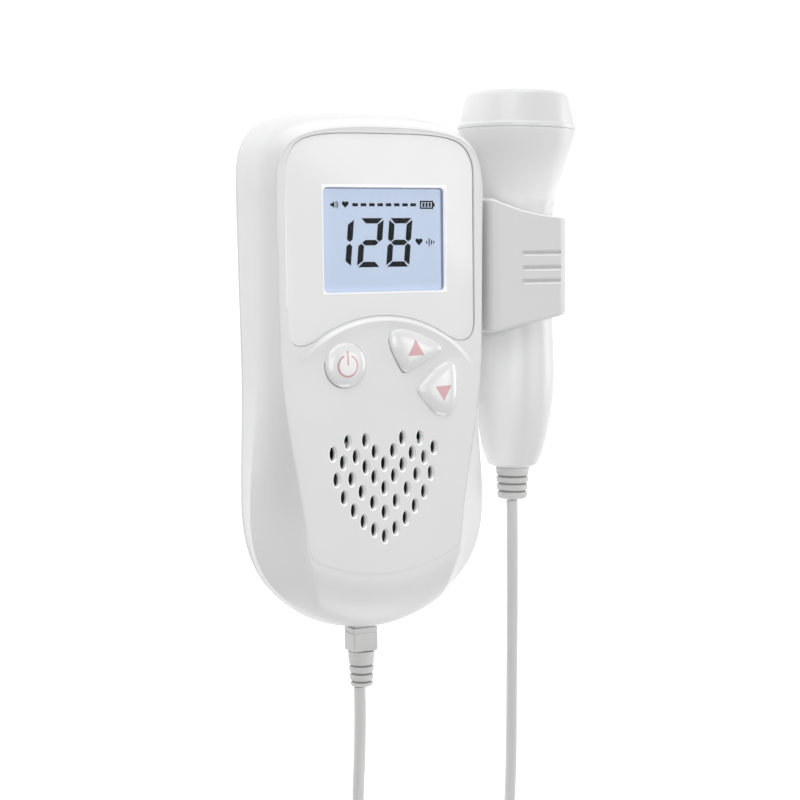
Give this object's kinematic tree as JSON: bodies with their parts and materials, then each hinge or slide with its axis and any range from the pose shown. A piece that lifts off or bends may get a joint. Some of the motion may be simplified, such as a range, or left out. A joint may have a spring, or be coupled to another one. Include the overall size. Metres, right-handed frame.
{
  "type": "fetal doppler monitor",
  "caption": "Handheld fetal heartbeat monitor: rounded white case with a screen, domed keys and a heart-shaped speaker grille, and a corded ultrasound probe in a side clip.",
  "frame": {"origin": "on the flat back of the case and on its middle line, 67.5 mm below the top of the case", "axes": "+X to the right of the screen, +Y to the top of the case, +Z out of the screen; the case lies on its back"},
  "size_m": [0.1013, 0.2589, 0.0348],
  "materials": {
    "case_white": "satin white ABS",
    "panel_gloss": "polished white",
    "clip_white": "satin white ABS",
    "window_clear": "clear acrylic",
    "display_blue": "smooth",
    "backlight": "smooth acrylic",
    "board_green": "solder mask",
    "black_plastic": "moulded",
    "grey_plastic": "moulded",
    "steel": "zinc plated",
    "nickel": "nickel plated",
    "magnet": "black plated",
    "cone_paper": "matt",
    "cell_sleeve": "printed sleeve, plain",
    "crystal": "silvered ceramic",
    "foam": "matt",
    "cord_white": "satin PVC"
  },
  "bodies": {
    "case": {"front_shell": "case_white", "rear_shell": "case_white", "lens_panel": "panel_gloss", "display_window": "window_clear", "lcd_glass": "display_blue", "lcd_backlight": "backlight", "lcd_connector": "black_plastic", "circuit_board": "board_green", "main_chip": "black_plastic", "oscillator_can": "steel", "filter_capacitor": "grey_plastic", "power_switch": "black_plastic", "up_switch": "black_plastic", "down_switch": "black_plastic", "speaker_frame": "steel", "speaker_cone": "cone_paper", "speaker_magnet": "magnet", "battery_cell_left": "cell_sleeve", "battery_cell_right": "cell_sleeve", "contact_bridge": "nickel", "contact_negative": "nickel", "contact_positive": "nickel", "contact_spring_left": "nickel", "contact_spring_right": "nickel", "case_screw_1": "steel", "case_screw_2": "steel", "case_screw_3": "steel", "case_screw_4": "steel", "cord_socket": "black_plastic", "probe_holder": "clip_white", "cord_coil": "cord_white", "coil_tie": "cord_white", "cord_probe": "cord_white", "cord_plug": "cord_white"},
    "power_key": {"power_button": "panel_gloss", "power_plunger": "grey_plastic"},
    "up_key": {"up_button": "panel_gloss", "up_plunger": "grey_plastic"},
    "down_key": {"down_button": "panel_gloss", "down_plunger": "grey_plastic"},
    "door": {"battery_door": "case_white"},
    "probe": {"probe_cap": "case_white", "probe_handle": "case_white", "crystal_transmit": "crystal", "crystal_receive": "crystal", "transducer_backing": "foam", "probe_board": "board_green", "probe_relief": "cord_white"},
    "plug": {"plug_body": "cord_white", "plug_relief": "cord_white"}
  },
  "joints": [
    {"name": "power_press", "type": "slide", "parent": "case", "child": "power_key", "axis": [0, 0, -1], "range_m": [0, 0.0006], "stiffness_N_per_m": 1500},
    {"name": "up_press", "type": "slide", "parent": "case", "child": "up_key", "axis": [0, 0, -1], "range_m": [0, 0.0006], "stiffness_N_per_m": 1500},
    {"name": "down_press", "type": "slide", "parent": "case", "child": "down_key", "axis": [0, 0, -1], "range_m": [0, 0.0006], "stiffness_N_per_m": 1500},
    {"name": "door_slide", "type": "slide", "parent": "case", "child": "door", "axis": [0, 1, 0], "range_m": [0, 0.0065]},
    {"name": "probe_slide", "type": "slide", "parent": "case", "child": "probe", "axis": [0.0209, 0.9998, 0], "range_m": [0, 0.085], "deforming": ["cord_probe"]},
    {"name": "plug_pull", "type": "slide", "parent": "case", "child": "plug", "axis": [0, -1, 0], "range_m": [0, 0.013], "deforming": ["cord_plug"]}
  ]
}
